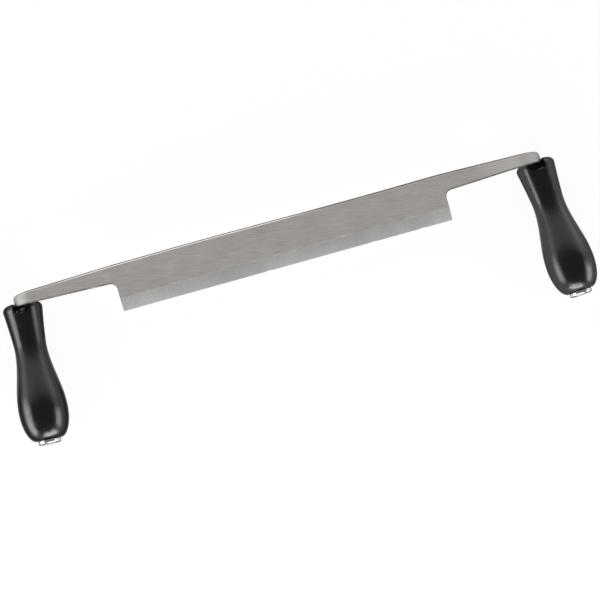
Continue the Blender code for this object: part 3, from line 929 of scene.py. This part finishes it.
bare_wood = stained_wood()
LEFT_FADE = (0.26, 0.50)
RIGHT_FADE = (0.34, 0.62)
for hand, side, outline_fade in (("left", -1, LEFT_FADE), ("right", 1, RIGHT_FADE)):
    lacquer = black_lacquer(hand, *outline_fade)
    handle = placed_object(hand + "_grip", turned("grip", handle_profile(), HANDLE_STEPS), handle_frame(side))
    handle.data.materials.append(lacquer)
    cuts = [placed_object("relief", relief_block(side), handle_frame(side)),
            placed_object("pocket", pocket_block(side), handle_frame(side)),
            placed_object("slot", slot_block(), handle_frame(side))]
    for cut in cuts:
        cut.data.materials.append(bare_wood)
    lip = cuts[0].data
    lip.materials.append(lacquer)
    for face in lip.polygons:
        face.material_index = int(face.center.y > LIP_START)
    combine(handle, cuts, 'DIFFERENCE')
    handle.data.shade_smooth()
    handle.data.set_sharp_from_angle(angle=math.radians(HANDLE_SHARP))
    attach(handle, "root")
    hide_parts(hand + "_handle")

# Rivet washers: one turned steel washer under each butt, plated bright. The tang's round end is
# spread into its countersink, which pulls the handle up against the arm.
WASHER_RADIUS = 0.0083
WASHER_ROUND = 0.0006
WASHER_ROUND_STEPS = 6
WASHER_STEPS = 96
WASHER_SHARP = 35


def washer_profile():
    """Section of the washer, round from the hole's upper rim and back to it."""
    hole = SPIGOT_RADIUS + SEAT_GAP
    sink = RIVET_RADIUS + SEAT_GAP
    rim = WASHER_RADIUS - WASHER_ROUND
    points = [(hole, -WASHER_TOP)]
    for middle, start in ((-WASHER_TOP - WASHER_ROUND, 90), (WASHER_ROUND - WASHER_BOTTOM, 0)):
        for step in range(WASHER_ROUND_STEPS + 1):
            turn = math.radians(start - 90 * step / WASHER_ROUND_STEPS)
            points.append((rim + WASHER_ROUND * math.cos(turn), middle + WASHER_ROUND * math.sin(turn)))
    return [*points, (sink, -WASHER_BOTTOM), (hole, RIVET_DEPTH - WASHER_BOTTOM), (hole, -WASHER_TOP)]


PLATING_TONES = ((0.66, 0.655, 0.645), (0.82, 0.815, 0.80))
PLATING_EDGE_SHADE_TINT = (0.0, 0.0, 0.0, 1.0)
PLATING_RUBS = (350.0, 3.0, 0.6)
PLATING_RUB_SPAN = (0.35, 0.7)
PLATING_ROUGHNESS = (0.12, 0.26)
PLATING_RIPPLE = (1500.0, 2.0, 0.5)
PLATING_BUMP = (0.04, 0.0001)


def bright_steel():
    """Bright plating over turned steel, faintly rippled, with a few rubbed places, and a black edge tint that
    paints shade along its outlines.
    """
    material, tree, shader = new_material("bright_plated_steel", 1.0)
    place = object_place(tree)
    rubbed = noise_node(tree, place, *PLATING_RUBS)
    tree.links.new(mix_node(tree, rubbed, *PLATING_TONES), shader.inputs["Base Color"])
    # Black edge tint: painted shade along the outlines, where the plating is seen at a glance.
    shader.inputs["Specular Tint"].default_value = PLATING_EDGE_SHADE_TINT
    gloss = range_node(tree, rubbed, *PLATING_RUB_SPAN, *PLATING_ROUGHNESS)
    tree.links.new(gloss, shader.inputs["Roughness"])
    ripple = noise_node(tree, place, *PLATING_RIPPLE)
    tree.links.new(bump_node(tree, ripple, *PLATING_BUMP), shader.inputs["Normal"])
    return material


plating = bright_steel()
for hand, side in (("left", -1), ("right", 1)):
    ring = turned("washer", washer_profile(), WASHER_STEPS)
    washer = placed_object(hand + "_butt_washer", ring, handle_frame(side))
    washer.data.materials.append(plating)
    flat_shading(washer, WASHER_SHARP)
    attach(washer, "root")
    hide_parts(hand + "_rivet_washer")

# Studio: a white cove, a dim wall of light behind the tool, a window of light on either side, the left
# one in two parts, and a low lamp in front of the handles.
COVE_RADIUS = 3.0
COVE_ROUND = 0.6
COVE_HEIGHT = 1.6
COVE_STEPS = 16
COVE_SIDES = 96
COVE_WHITE = (0.93, 0.93, 0.93, 1.0)
COVE_SEEN_WHITE = 0.93


def cove_profile():
    points = [(0.0, 0.0), (COVE_RADIUS - COVE_ROUND, 0.0)]
    for step in range(1, COVE_STEPS + 1):
        turn = math.pi / 2 * step / COVE_STEPS
        points.append((COVE_RADIUS - COVE_ROUND * (1 - math.sin(turn)), COVE_ROUND * (1 - math.cos(turn))))
    return [*points, (COVE_RADIUS, COVE_HEIGHT)]


def studio_white():
    """Matt white that stays white to the eye and in reflections, and still takes the tool's shadow."""
    material = bpy.data.materials.new("studio_white")
    material.use_nodes = True
    tree = material.node_tree
    tree.nodes.clear()
    output = tree.nodes.new('ShaderNodeOutputMaterial')
    matt = tree.nodes.new('ShaderNodeBsdfDiffuse')
    matt.inputs["Color"].default_value = COVE_WHITE
    white = tree.nodes.new('ShaderNodeEmission')
    path = tree.nodes.new('ShaderNodeLightPath')
    seen = math_node(tree, 'MAXIMUM', path.outputs["Is Camera Ray"], path.outputs["Is Glossy Ray"])
    seen = math_node(tree, 'MAXIMUM', seen, path.outputs["Is Transmission Ray"])
    share = math_node(tree, 'MULTIPLY', seen, COVE_SEEN_WHITE)
    mixed = tree.nodes.new('ShaderNodeMixShader')
    tree.links.new(share, mixed.inputs[0])
    tree.links.new(matt.outputs[0], mixed.inputs[1])
    tree.links.new(white.outputs[0], mixed.inputs[2])
    tree.links.new(mixed.outputs[0], output.inputs["Surface"])
    return material


cove = placed_object("studio_cove", turned("studio_cove", cove_profile(), COVE_SIDES), Matrix.Identity(4))
cove.data.materials.append(studio_white())
cove.data.shade_smooth()


def soft_lamp(name, place, aim, width, height, level):
    """Rectangular lamp whose face is that many times as bright as white paper."""
    lamp = bpy.data.lights.new(name, 'AREA')
    lamp.shape = 'RECTANGLE'
    lamp.size = width
    lamp.size_y = height
    lamp.energy = level * math.pi * width * height
    obj = placed_object(name, lamp, Matrix.Translation(place))
    obj.rotation_mode = 'QUATERNION'
    obj.rotation_quaternion = (Vector(aim) - Vector(place)).to_track_quat('-Z', 'Y')
    obj.visible_camera = False


soft_lamp("left_window", place=(-0.72, 0.025, 0.19), aim=(0.0, 0.025, 0.19),
          width=0.21, height=0.37, level=4.9)
soft_lamp("left_front_window", place=(-0.72, -0.2735, 0.19), aim=(0.0, -0.2735, 0.19),
          width=0.387, height=0.37, level=6.2)
soft_lamp("right_window", place=(1.90, -0.79, 0.58), aim=(0.0, -0.79, 0.58),
          width=1.33, height=1.06, level=4.8)
soft_lamp("front_lamp", place=(0.0, -0.92, 0.33), aim=(0.0, 0.0, 0.33),
          width=0.97, height=0.62, level=9.0)
soft_lamp("back_wall", place=(0.0, 0.62, 0.70), aim=(0.0, 0.0, 0.70),
          width=5.0, height=1.38, level=0.95)

WORLD_GREY = (0.20, 0.20, 0.20, 1.0)
world = bpy.data.worlds.new("studio")
world.use_nodes = True
world.node_tree.nodes["Background"].inputs["Color"].default_value = WORLD_GREY
bpy.context.scene.world = world

# Camera: almost straight above, a little to the handles' side, and turned so that the blade rises
# to the right of the picture.
LENS = 106.4
SENSOR = 36.0
VIEW_CENTRE = Vector((0.00136, -0.00417, 0.020))
VIEW_DISTANCE = 1.3065
VIEW_LEAN = math.radians(5.0)
VIEW_SIDE = math.radians(-1.96)
VIEW_ROLL = math.radians(15.75)

to_camera = Vector((math.sin(VIEW_SIDE) * math.cos(VIEW_LEAN), -math.sin(VIEW_LEAN),
                    math.cos(VIEW_SIDE) * math.cos(VIEW_LEAN)))
level_right = (-to_camera).cross(Vector((0.0, 1.0, 0.0))).normalized()
level_up = level_right.cross(-to_camera)
right = math.cos(VIEW_ROLL) * level_right - math.sin(VIEW_ROLL) * level_up
up = math.sin(VIEW_ROLL) * level_right + math.cos(VIEW_ROLL) * level_up
camera_frame = Matrix((right, up, to_camera)).transposed().to_4x4()
camera_frame.translation = VIEW_CENTRE + to_camera * VIEW_DISTANCE
lens = bpy.data.cameras.new("camera")
lens.lens = LENS
lens.sensor_width = SENSOR
bpy.context.scene.camera = placed_object("camera", lens, camera_frame)
bpy.context.scene.view_settings.view_transform = 'Standard'
